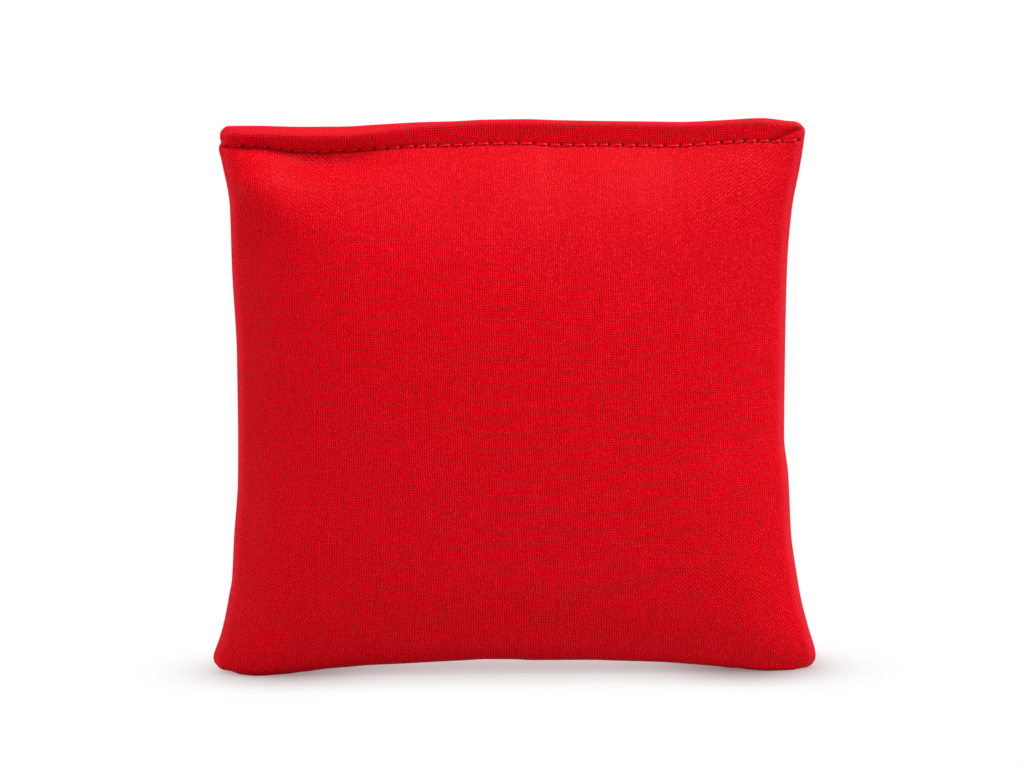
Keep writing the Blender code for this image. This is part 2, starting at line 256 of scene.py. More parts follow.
def top_line(across):
    """Height of the top fold."""
    return HEIGHT - HEM_DIP * through(DIP_SHARES, across)


def stitch_line(across):
    """Height of the closing stitch."""
    return top_line(across) - STITCH_DROP * through(DROP_SHARES, across)


def off_stitch(across, level):
    """Distance along the cloth from the closing stitch, above it more than 0."""
    above = top_line(across) - stitch_line(across)
    below = stitch_line(across) - foot_line(across)
    return (level - 1.0) * np.where(level > 1.0, above, below)


def plane_point(across, level, side=0.0, lower=0.0, upper=0.0):
    """Place in the front view, X and Z, from the share of the width and the level.

    level is 0 at the foot, 1 at the closing stitch and 2 at the top fold. side, lower and upper draw the
    sheet in from the sides, the foot and the top by real distances.
    """
    low_round = max(LOWER_CORNER - np.max(lower), 0.0)
    corner = UPPER_LEFT_CORNER + (UPPER_RIGHT_CORNER - UPPER_LEFT_CORNER) * across
    high_round = np.clip(corner - upper, 0.0, None)
    foot, stitch, top = foot_line(across), stitch_line(across), top_line(across)
    body = np.clip(level, 0.0, 1.0)
    hem = np.clip(level - 1.0, 0.0, 1.0)
    height = foot + body * (stitch - foot) + hem * (top - stitch)
    up = height / HEIGHT
    rounded = corner_inset(height - foot, low_round) + corner_inset(top - height, high_round)
    notch = NOTCH * bell(height - stitch - NOTCH_RISE, GROOVE_WIDTH)
    left = side - HALF_WIDTH + SIDE_DRAW * through(LEFT_SHARES, up) + rounded + notch
    right = HALF_WIDTH - side - SIDE_DRAW * through(RIGHT_SHARES, up) - rounded
    nearest = np.minimum(across, 1.0 - across) * WIDTH
    bottom = foot + lower + corner_inset(nearest, low_round)
    ceiling = top - upper - corner_inset(nearest, high_round)
    return left + across * (right - left), bottom + body * (stitch - bottom) + hem * (ceiling - stitch)


def roll_radius(across, level):
    """Outer radius of the turned edge: the seam's round the sides and foot, the fold's along the top."""
    fold = HEM_ROLL + FAT_ROLL * through(PLUMP_SHARES, across)
    return SEAM_ROLL + (fold - SEAM_ROLL) * smooth((level - FOLD_FROM) / FOLD_OVER)


def hole_places():
    """Shares of the width at the needle holes: even steps, each moved a little by two sines."""
    run = 2.0 * (HALF_WIDTH - SIDE_DRAW * LEFT_SHARES[-1][1]) - 2.0 * SEAM_ROLL
    count = int(run / STITCH_PITCH)
    order = np.arange(count + 1)
    drift = sum(size * np.sin(order * rate + start) for size, rate, start in HOLE_DRIFTS)
    margin = STITCH_MARGIN / run
    return margin + (order + drift * (order > 0) * (order < count)) / count * (1.0 - 2.0 * margin)


HOLES = hole_places()


def hole_pull(across, off_line):
    """Depth of the dimples round the needle holes, 0 to 1: a bell round each hole."""
    right = np.clip(np.searchsorted(HOLES, across), 1, len(HOLES) - 1)
    nearest = np.minimum(np.abs(across - HOLES[right - 1]), np.abs(HOLES[right] - across))
    return bell(np.hypot(nearest * WIDTH, off_line), HOLE_WIDTH)


def stitch_share(across):
    """How far along its stitch each place lies: 0 at one needle hole and 1 at the next."""
    phase = np.interp(across, HOLES, np.arange(len(HOLES)))
    return phase - np.floor(phase)


def eased_ends(part, reach):
    """1 along the middle, eased out to 0 at both ends: the product of two smooth steps."""
    (start, rise), (end, fall) = reach
    return smooth((part - start) / rise) * smooth((end - part) / fall)


def crown(across, level):
    """Swell of one face: the product of three rounded powers, (1 - |x|^p)^q.

    They run across the bag, up from the foot and down from the closing stitch. The valley beside the plump
    roll lowers it, and the soft swells stand on it as bells.
    """
    power, root = ACROSS_POWER_SHARES
    off = 2.0 * across - 1.0
    off = off + LEAN_SHARE * (1.0 - off * off)
    wide = np.clip(1.0 - np.abs(off) ** power, 0.0, 1.0) ** root
    body = np.clip(level, 0.0, 1.0)
    power, root = FOOT_POWER_SHARES
    foot = np.clip(1.0 - (1.0 - body) ** power, 0.0, 1.0) ** root
    power, root = STITCH_POWER_SHARES
    stitch = np.clip(1.0 - body ** power, 0.0, 1.0) ** root
    valley = VALLEY_SHARE * through(VALLEY_SHARES, across)
    stitch = stitch * (1.0 - valley * bell((1.0 - body) * HEIGHT, VALLEY_WIDTH))
    swell = (HALF_THICKNESS - 2.0 * SEAM_ROLL) * wide * foot * stitch
    for place, up, half_wide, half_high, height in SWELLS:
        wide_off = (across - place) * WIDTH / half_wide
        off = np.hypot(wide_off, (level - up) * HEIGHT / half_high)
        swell = swell + height * bell(off, 1.0) * smooth(swell / (SWELL_FADE * SEAM_ROLL))
    return swell


def hem_swell(across, level):
    """Swell of the folded band: a half sine from the closing stitch to the fold, fuller where it is plump."""
    band = np.clip(level - 1.0, 0.0, 1.0)
    full = HEM_PUFF + FAT_PUFF * through(PLUMP_SHARES, across)
    return full * np.sin(math.pi * band ** PUFF_POWER)


def tuck(across, level):
    """Depth of the short slanting fold at the hem's right end."""
    low, high = TUCK_SHARES
    fold = low + (high - low) * (level - 1.0)
    off = (across - fold) * WIDTH
    away, wide, up, high, share = TUCK_ROLL
    roll = share * bell(off - away * TUCK_WIDTH, wide * TUCK_WIDTH) * bell(level - up, high)
    return TUCK_DEPTH * (bell(off, TUCK_WIDTH) - roll) * eased_ends(level, TUCK_REACH)


def crease(across, off_line):
    """Thin crease just under each stitch, 0 to 1: a bell below the line, eased out by the holes."""
    return bell(off_line + CREASE_DROP, CREASE_WIDTH) * eased_ends(stitch_share(across), CREASE_REACH)


def stitch_pull(across, level):
    """How far the thread draws the cloth in along the closing stitch, with a dimple at each hole."""
    off_line = off_stitch(across, level)
    valley = DEEP_GROOVE * through(PLUMP_SHARES, across) * bell(off_line, GROOVE_WIDTH)
    shoulder = SHOULDER * through(SHOULDER_SHARES, across)
    shoulder = shoulder * bell(off_line + SHOULDER_DROP, SHOULDER_WIDTH)
    drawn = GROOVE * bell(off_line, GROOVE_WIDTH) + CREASE * crease(across, off_line)
    return drawn + valley + tuck(across, level) - shoulder


def pressing(across, level):
    """How far the face is let down, so that the corners' underside lies flat on the ground."""
    full = SEAM_ROLL * through(FOOT_SHARES, across)
    return np.minimum(full, np.clip(level, 0.0, 1.0) * HEIGHT) * smooth(1.0 - level)


def inset_shares(across, level, side, lower, upper):
    """Shares moved inwards by real distances from the sides, the foot and the top."""
    side = side / WIDTH
    lower = lower / HEIGHT
    upper = upper / STITCH_DROP
    body = np.clip(level, 0.0, 1.0)
    rising = lower + body * (1.0 - lower) + (level - body) * (1.0 - upper)
    return side + across * (1.0 - 2.0 * side), rising


def face_sheet(across, level, turn=0.0):
    """Outer surface over one face: X, distance from the middle plane, and Z.

    turn goes round the roll, from 0 to half pi. The distance is GAP + r + the hypotenuse of r cos(turn) and
    the swell, with r the roll's radius, less what the thread draws in.
    """
    roll = roll_radius(across, level)
    gone = 1.0 - math.sin(turn) if turn else 1.0
    fold = roll_radius(across, np.full_like(level, 2.0))
    insets = (roll * gone, SEAM_ROLL * gone, fold * gone)
    x, z = plane_point(across, level, *insets)
    at = inset_shares(across, level, *insets)
    turned = roll * math.cos(turn)
    y = GAP + roll + np.hypot(turned, crown(*at) + hem_swell(*at))
    y = y - stitch_pull(across, level) * min(gone * 2.0, 1.0)
    return x, y, z - pressing(*at)


def turned_sheet(across, level, turn):
    """The same past the outermost line, from half pi to pi, down to the bag's middle plane."""
    roll = roll_radius(across, level)
    fold = roll_radius(across, np.full_like(level, 2.0))
    gone = 1.0 - math.sin(turn)
    x, z = plane_point(across, level, roll * gone, SEAM_ROLL * gone, fold * gone)
    return x, GAP + roll * (1.0 + math.cos(turn)), z


def levels():
    """Levels of the sheet's rows: dense at the foot, along the closing stitch and over the hem."""
    near = 2.0 * GROOVE_WIDTH / BODY_HEIGHT
    ease = (1.0 - np.cos(np.linspace(0.0, math.pi, BODY_ROWS + 1))) / 2.0
    even = np.linspace(0.0, 1.0, BODY_ROWS + 1)
    body = (EASED_ROWS * ease + (1.0 - EASED_ROWS) * even) * (1.0 - near)
    seam = 1.0 - near + near * np.linspace(0.0, 1.0, SEAM_ROWS + 1)[1:]
    hem = 1.0 + np.linspace(0.0, 1.0, HEM_ROWS + 1)[1:]
    return np.concatenate([body, seam, hem])


def columns():
    """Shares of the width at the sheet's columns: the same steps in every stitch, and a few past its ends."""
    inner = (HOLES[:-1, None] + np.diff(HOLES)[:, None] * np.array(STITCH_STEPS)).ravel()
    return np.concatenate([np.linspace(0.0, HOLES[0], MARGIN_COLUMNS)[:-1], inner,
                           np.linspace(HOLES[-1], 1.0, MARGIN_COLUMNS)])


def rim_order(wide, high):
    """Vertex numbers once round a grid of wide by high points, anticlockwise from the lower left corner."""
    grid = np.arange(wide * high).reshape(high, wide)
    return np.concatenate([grid[0, :-1], grid[:-1, -1], grid[-1, :0:-1], grid[:0:-1, 0]])


def grid_quads(wide, high):
    """Quads of a grid of wide by high points."""
    corner = (np.arange(high - 1)[:, None] * wide + np.arange(wide - 1)).ravel()
    return np.stack([corner, corner + 1, corner + wide + 1, corner + wide], axis=1)


def ring_quads(outer, inner):
    """Quads between two closed rings of the same count."""
    return np.stack([np.roll(outer, -1), outer, inner, np.roll(inner, -1)], axis=1)


def stacked_quads(rings, around):
    """Quads between rings of the same count, stacked one after another."""
    start = np.arange(rings - 1)[:, None] * around
    turn = np.arange(around)[None, :]
    after = (turn + 1) % around
    corners = start + turn, start + after, start + around + after, start + around + turn
    return np.stack(corners, axis=2).reshape(-1, 4)


def put(name, data):
    """New object in the scene."""
    thing = bpy.data.objects.new(name, data)
    bpy.context.scene.collection.objects.link(thing)
    return thing


def make_mesh(name, points, quads, uv=None, shades=None):
    """Mesh object from arrays, smooth shaded, with an optional cloth UV map and named point values."""
    mesh = bpy.data.meshes.new(name)
    mesh.vertices.add(len(points))
    mesh.vertices.foreach_set("co", np.ascontiguousarray(points, np.float32).ravel())
    mesh.loops.add(quads.size)
    mesh.loops.foreach_set("vertex_index", quads.astype(np.int32).ravel())
    mesh.polygons.add(len(quads))
    mesh.polygons.foreach_set("loop_start", np.arange(0, quads.size, quads.shape[1], dtype=np.int32))
    mesh.update(calc_edges=True)
    mesh.validate()
    mesh.shade_smooth()
    if uv is not None:
        layer = mesh.uv_layers.new(name="cloth")
        layer.data.foreach_set("uv", uv[quads.ravel()].astype(np.float32).ravel())
    for label, values in (shades or {}).items():
        mesh.attributes.new(label, "FLOAT", "POINT").data.foreach_set("value", values.astype(np.float32))
    return put(name, mesh)


def arc_lengths(points, axis):
    """Distance along the rows or columns of a grid of points, from its first one."""
    steps = np.linalg.norm(np.diff(points, axis=axis), axis=2)
    run = np.cumsum(steps, axis=axis)
    start = np.zeros_like(np.take(run, [0], axis=axis))
    return np.concatenate([start, run], axis=axis)


def cloth_map(points, high, wide):
    """Flat coordinates of the weave, in metres: arc lengths along rows and columns, evened to the mean."""
    grid = points.reshape(high, wide, 3)
    along = arc_lengths(grid, 1)
    rising = arc_lengths(grid, 0)
    body = slice(high // 6, high * 4 // 5)
    cut_width = along[body, -1].mean()
    cut_height = rising[-1, wide // 6:-wide // 6].mean()
    u = (along / along[:, -1:] - 0.5) * cut_width
    v = rising / rising[-1:, :] * cut_height
    return np.stack([u.ravel(), v.ravel()], axis=1)


def settle():
    """How the filling's pressure moves both faces, from a cloth simulation of the closed bag.

    It runs on a coarse mesh with the rim held. Each move is shortened to at most SETTLE_CAP, by the cap
    times the hyperbolic tangent of its length over the cap, and evened with its neighbours, a quarter, a half
    and a quarter. Returns the moves of the front and the back, with the second number outwards.
    """
    across, level = (grid.ravel() for grid in np.meshgrid(np.linspace(0.0, 1.0, SETTLE_COLUMNS),
                                                          np.linspace(0.0, 1.0, SETTLE_ROWS)))
    face = np.stack(face_sheet(across, level), axis=1)
    rim, count = rim_order(SETTLE_COLUMNS, SETTLE_ROWS), len(face)
    quads = grid_quads(SETTLE_COLUMNS, SETTLE_ROWS)
    points = np.concatenate([face * [1.0, -1.0, 1.0], face])
    quads = np.concatenate([quads, quads[:, ::-1] + count, ring_quads(rim, rim + count)])
    thing = make_mesh("settling_cloth", points, quads)
    held = thing.vertex_groups.new(name="sewn")
    held.add(np.concatenate([rim, rim + count]).tolist(), 1.0, "REPLACE")
    cloth = thing.modifiers.new("filled", "CLOTH")
    rule = cloth.settings
    rule.quality = SETTLE_QUALITY
    rule.tension_stiffness = SETTLE_TENSION
    rule.compression_stiffness = SETTLE_TENSION
    rule.shear_stiffness = SETTLE_SHEAR
    rule.bending_stiffness = SETTLE_BENDING
    rule.use_pressure = True
    rule.uniform_pressure_force = SETTLE_PRESSURE
    rule.shrink_min = SETTLE_SHRINK
    rule.vertex_group_mass = "sewn"
    rule.effector_weights.gravity = 0.0
    cloth.point_cache.frame_start = 1
    cloth.point_cache.frame_end = SETTLE_FRAMES
    for step in range(1, SETTLE_FRAMES + 1):
        bpy.context.scene.frame_set(step)
    done = thing.evaluated_get(bpy.context.evaluated_depsgraph_get()).to_mesh()
    places = np.empty(len(done.vertices) * 3, np.float32)
    done.vertices.foreach_get("co", places)
    mesh = thing.data
    bpy.data.objects.remove(thing)
    bpy.data.meshes.remove(mesh)
    bpy.context.scene.frame_set(1)
    moves = (places.reshape(-1, 3) - points).reshape(2, SETTLE_ROWS, SETTLE_COLUMNS, 3)
    moves[0, :, :, 1] *= -1.0
    length = np.maximum(np.linalg.norm(moves, axis=3, keepdims=True), 1e-9)
    moves = moves * SETTLE_CAP * np.tanh(length / SETTLE_CAP) / length
    for _ in range(SETTLE_EVENINGS):
        moves[:, 1:-1] = (moves[:, :-2] + 2.0 * moves[:, 1:-1] + moves[:, 2:]) / 4.0
        moves[:, :, 1:-1] = (moves[:, :, :-2] + 2.0 * moves[:, :, 1:-1] + moves[:, :, 2:]) / 4.0
    return moves


def spline_weights(at, count):
    """First control point and the four weights of an even cubic B-spline, at places from 0 to 1.

    With t from one point to the next and s = 1 - t, the weights are s³/6, (3t³ - 6t² + 4)/6,
    (3s³ - 6s² + 4)/6 and t³/6.
    """
    at = np.clip(at, 0.0, 1.0) * (count - 1)
    start = np.minimum(np.floor(at), count - 2).astype(int)
    part = at - start
    rest = 1.0 - part
    return start, (rest ** 3 / 6.0, (3.0 * part ** 3 - 6.0 * part ** 2 + 4.0) / 6.0,
                   (3.0 * rest ** 3 - 6.0 * rest ** 2 + 4.0) / 6.0, part ** 3 / 6.0)


def spread(moves, across, level):
    """Moves of the coarse mesh carried over to the fine sheet by an even cubic spline."""
    rows, lines = moves.shape[:2]
    grid = np.pad(moves, ((1, 1), (1, 1), (0, 0)), mode="reflect", reflect_type="odd")
    column, side_weights = spline_weights(across, lines)
    row, rise_weights = spline_weights(level, rows)
    total = np.zeros((len(across), 3))
    for i, rise_weight in enumerate(rise_weights):
        for j, side_weight in enumerate(side_weights):
            total += (rise_weight * side_weight)[:, None] * grid[row + i, column + j]
    return total


def panel(name, side, moves):
    """One canvas square: crowned face, hem, rolled edge, and the allowance turned in all round."""
    across_line, level_line = columns(), levels()
    wide, high = len(across_line), len(level_line)
    across, level = (grid.ravel() for grid in np.meshgrid(across_line, level_line))
    face = np.stack(face_sheet(across, level), axis=1) + spread(moves, across, level)
    off_line = off_stitch(across, level)
    pits = hole_pull(across, off_line)
    face[:, 1] -= HOLE_DEPTH * pits
    # Painted shade in the needle holes, fainter to the left, and in the crease under each stitch
    pits = pits * (PIT_LEAST + (1.0 - PIT_LEAST) * smooth((across - PIT_FROM) / PIT_OVER))
    pits = np.maximum(pits, CREASE_SHADE * crease(across, off_line))
    rim = rim_order(wide, high)
    edge = across[rim], level[rim]
    flat = cloth_map(face, high, wide)
    points, maps = [face], [flat]
    quads = [grid_quads(wide, high)]
    outward = np.stack([np.where(edge[0] <= 0.0, -1.0, np.where(edge[0] >= 1.0, 1.0, 0.0)),
                        np.where(edge[1] <= 0.0, -1.0, np.where(edge[1] >= 2.0, 1.0, 0.0))], axis=1)
    ring, start, last, run = rim, len(face), face[rim], np.zeros(len(rim))
    turns = np.linspace(0.0, math.pi, ROLL_STEPS + 1)[1:]
    rings = [(face_sheet if turn <= math.pi / 2 + 1e-6 else turned_sheet)(*edge, turn) for turn in turns]
    x, z = plane_point(*edge, SEAM_ALLOWANCE, SEAM_ALLOWANCE, FOLD_ALLOWANCE)
    rings.append((x, np.full_like(x, GAP), z))
    for places in rings:
        places = np.stack(places, axis=1)
        run = run + np.linalg.norm(places - last, axis=1)
        points.append(places)
        maps.append(flat[rim] + outward * run[:, None])
        following = np.arange(start, start + len(rim))
        quads.append(ring_quads(ring, following))
        ring, start, last = following, start + len(rim), places
    points = np.concatenate(points) * np.array([1.0, side, 1.0])
    quads = np.concatenate(quads)
    if side > 0:
        quads = quads[:, ::-1]
    # Painted sheen along the sides' edges and the top fold
    near_side = bell(np.minimum(across, 1.0 - across) * WIDTH, RIM_SHEEN_WIDTH)
    near_top = TOP_SHEEN_SHARE * bell((2.0 - level) * STITCH_DROP, TOP_SHEEN_WIDTH)
    rim_sheen = np.maximum(near_side, near_top)
    round_rim = rim[np.arange(len(points) - len(face)) % len(rim)]
    bias = sum(way * bell(np.hypot(across - place, level - up), reach)
               for place, up, reach, way in BIAS_SPOTS)
    # Painted light on the lit top and right of each face
    painted_light = smooth((level + LIT_LEAN * (across - 0.5) - LIT_FROM) / LIT_OVER)
    painted_light = painted_light * (1.0 - smooth((level - 1.0) / LIT_END))
    painted_light = np.minimum(painted_light + LIT_RIGHT * across, 1.0)
    fold = smooth((level - BAND_FROM) / BAND_OVER)
    left_rim_sheen = (1.0 - fold) * smooth((LEFT_SHEEN_TO - across) / LEFT_SHEEN_OVER)
    shades = {"pit_shade": np.concatenate([pits, np.zeros(len(round_rim))]),
              "rim": np.concatenate([rim_sheen, np.where(level[round_rim] <= 0.0, 1.0, rim_sheen[round_rim])])}
    for label, values in (("bias", bias), ("painted_light", painted_light), ("fold", fold), ("left_rim_sheen", left_rim_sheen)):
        shades[label] = np.concatenate([values, values[round_rim]])
    thing = make_mesh(name, points, quads, np.concatenate(maps), shades)
    wall = thing.modifiers.new("cloth", "SOLIDIFY")
    wall.thickness = CLOTH
    wall.offset = -1.0
    wall.use_even_offset = False
    return thing


def tube(name, path, radius, sides, rise=None):
    """Round thread along a path: each ring is the radius turned round the path's direction, with closed ends.

    rise is how far along its stitch each point of the path lies.
    """
    along = np.gradient(path, axis=0)
    along /= np.linalg.norm(along, axis=1)[:, None]
    first = np.cross(along, np.array([0.0, 1.0, 0.0]))
    first /= np.linalg.norm(first, axis=1)[:, None]
    second = np.cross(along, first)
    run = np.concatenate([[0.0], np.cumsum(np.linalg.norm(np.diff(path, axis=0), axis=1))])
    angle = np.linspace(0.0, 2.0 * math.pi, sides, endpoint=False)
    ply = 1.0 + PLY_DEPTH * np.cos(2.0 * (angle[None, :] - 2.0 * math.pi * run[:, None] / PLY_PITCH))
    taper = np.ones(len(path))
    taper[[0, -1]] = THREAD_TIP
    reach = (radius * taper)[:, None] * ply
    rings = (path[:, None, :] + reach[..., None] * (np.cos(angle)[None, :, None] * first[:, None, :]
                                                    + np.sin(angle)[None, :, None] * second[:, None, :]))
    uv = np.stack([np.repeat(run, sides), np.tile(angle / (2.0 * math.pi) * radius, len(path))], axis=1)
    rise = np.zeros(len(path)) if rise is None else rise
    quads = stacked_quads(len(path), sides)
    return make_mesh(name, rings.reshape(-1, 3), quads, uv, {"rise": np.repeat(rise, sides)})


def closing_stitches(name, side):
    """Lockstitch along the hem: each stitch leaves a hole, rises along the cloth and dives into the next."""
    count = len(HOLES) - 1
    phase = np.linspace(0.0, count, count * STEPS_PER_STITCH + 1)
    across = np.interp(phase, np.arange(count + 1), HOLES)
    part = phase - np.floor(phase)
    x, y, z = face_sheet(across, np.ones_like(across))
    arch = eased_ends(part, STITCH_REACH)
    lift = y + THREAD * (THREAD_SLOPE * part - THREAD_SINK) - (1.0 - arch) * THREAD_DIVE
    slant = STITCH_SLANT * (part * 2.0 - 1.0) * arch
    path = np.stack([x, side * lift, z + slant], axis=1)
    return tube(name, path, THREAD / 2, THREAD_SIDES, part)


def seam_stitches(name, side):
    """Thread of the turned seam, in the roll of one panel: down one side, along the foot and up the other."""
    rising = np.linspace(0.0, FOLD_FROM, 90)
    crossing = np.linspace(0.0, 1.0, 120)
    across = np.concatenate([np.zeros(len(rising)), crossing[1:-1], np.ones(len(rising))])
    level = np.concatenate([rising[::-1], np.zeros(len(crossing) - 2), rising])
    x, z = plane_point(across, level, SEAM_ROLL, SEAM_ROLL, HEM_ROLL)
    path = np.stack([x, np.full_like(x, side * (GAP + SEAM_ROLL)), z], axis=1)
    return tube(name, path, THREAD / 2, 6)


# Colours, as linear red, green, blue and 1
DEEP_RED = (0.22, 0.0001, 0.0012, 1.0)
MAIN_RED = (0.74, 0.0002, 0.0064, 1.0)
TIP_AND_GLINT_RED = (0.92, 0.008, 0.036, 1.0)
LIT_TIP_GLINT_RED = (0.94, 0.055, 0.100, 1.0)
RIGHT_RIM_SHEEN_RED = (0.56, 0.028, 0.048, 1.0)
LEFT_RIM_SHEEN_RED = (0.90, 0.014, 0.036, 1.0)
FOLD_SHADE_RED = (0.30, 0.006, 0.012, 1.0)
PIT_SHADE_RED = (0.025, 0.0002, 0.0006, 1.0)
SHEEN_RED = (1.0, 0.26, 0.34, 1.0)
THREAD_RED = (0.70, 0.0014, 0.010, 1.0)
THREAD_DEEP_RED = (0.52, 0.0008, 0.006, 1.0)
THREAD_END_GLINT_RED = (0.90, 0.055, 0.080, 1.0)
THREAD_SHEEN_RED = (1.0, 0.5, 0.5, 1.0)
BEAN_TAN = (0.72, 0.58, 0.38, 1.0)
BEAN_BROWN = (0.42, 0.24, 0.12, 1.0)
BEAN_PALE = (0.80, 0.68, 0.50, 1.0)
WHITE = (1.0, 1.0, 1.0, 1.0)
PAINTED_BOUNCE_RED = (1.0, 0.62, 0.63, 1.0)

# The weave: how far warp, weft, their crossings and the slant stand up, and how dark the painted shade in the
# gaps is
WARP_RISE, WEFT_RISE, CROSSING_RISE, SLANT_RISE = 0.62, 0.34, 0.12, 0.4
PIT_DARK, WARP_GAP_DARK, WEFT_GAP_DARK, MEAN_DARK = 1.5, 0.36, 0.10, 0.365
# Depth of the bumps, as shares of a yarn and of the thread
YARN_BUMP, FILAMENT_BUMP = 0.26, 0.1


# Materials
class Graph:
    """Short names for wiring the nodes of one material, or of the world."""

    def __init__(self, owner, shader="Principled BSDF"):
        owner.use_nodes = True
        self.owner = owner
        self.nodes = owner.node_tree.nodes
        self.links = owner.node_tree.links
        self.shader = self.nodes[shader]

    def add(self, kind, **settings):
        node = self.nodes.new(kind)
        for label, value in settings.items():
            setattr(node, label, value)
        return node

    def feed(self, socket, value):
        if isinstance(value, bpy.types.NodeSocket):
            self.links.new(value, socket)
        else:
            socket.default_value = value

    def give(self, label, value):
        self.feed(self.shader.inputs[label], value)

    def wired(self, kind, inputs, output=0, **settings):
        node = self.add(kind, **settings)
        for label, value in inputs.items():
            self.feed(node.inputs[label], value)
        return node.outputs[output]

    def calc(self, operation, *values):
        return self.wired("ShaderNodeMath", dict(enumerate(values)), operation=operation)

    def plus(self, *values):
        return self.calc("ADD", *values)

    def minus(self, *values):
        return self.calc("SUBTRACT", *values)

    def times(self, *values):
        return self.calc("MULTIPLY", *values)

    def noise(self, vector, scale, detail=2.0, rough=0.5):
        inputs = {"Vector": vector, "Scale": scale, "Detail": detail, "Roughness": rough}
        return self.wired("ShaderNodeTexNoise", inputs, "Fac", noise_dimensions="3D")

    def shade(self, label):
        return self.wired("ShaderNodeAttribute", {}, "Fac", attribute_name=label)

    def range(self, value, low, high, to_low=0.0, to_high=1.0):
        return self.wired("ShaderNodeMapRange", dict(enumerate((value, low, high, to_low, to_high))))

    def blend(self, share, first, second):
        return self.wired("ShaderNodeMix", {0: share, 6: first, 7: second}, 2, data_type="RGBA")

    def place(self, u, v, w=0.0):
        return self.wired("ShaderNodeCombineXYZ", {0: u, 1: v, 2: w})

    def bump(self, height, distance, strength=1.0):
        inputs = {"Height": height, "Distance": distance, "Strength": strength}
        self.give("Normal", self.wired("ShaderNodeBump", inputs))


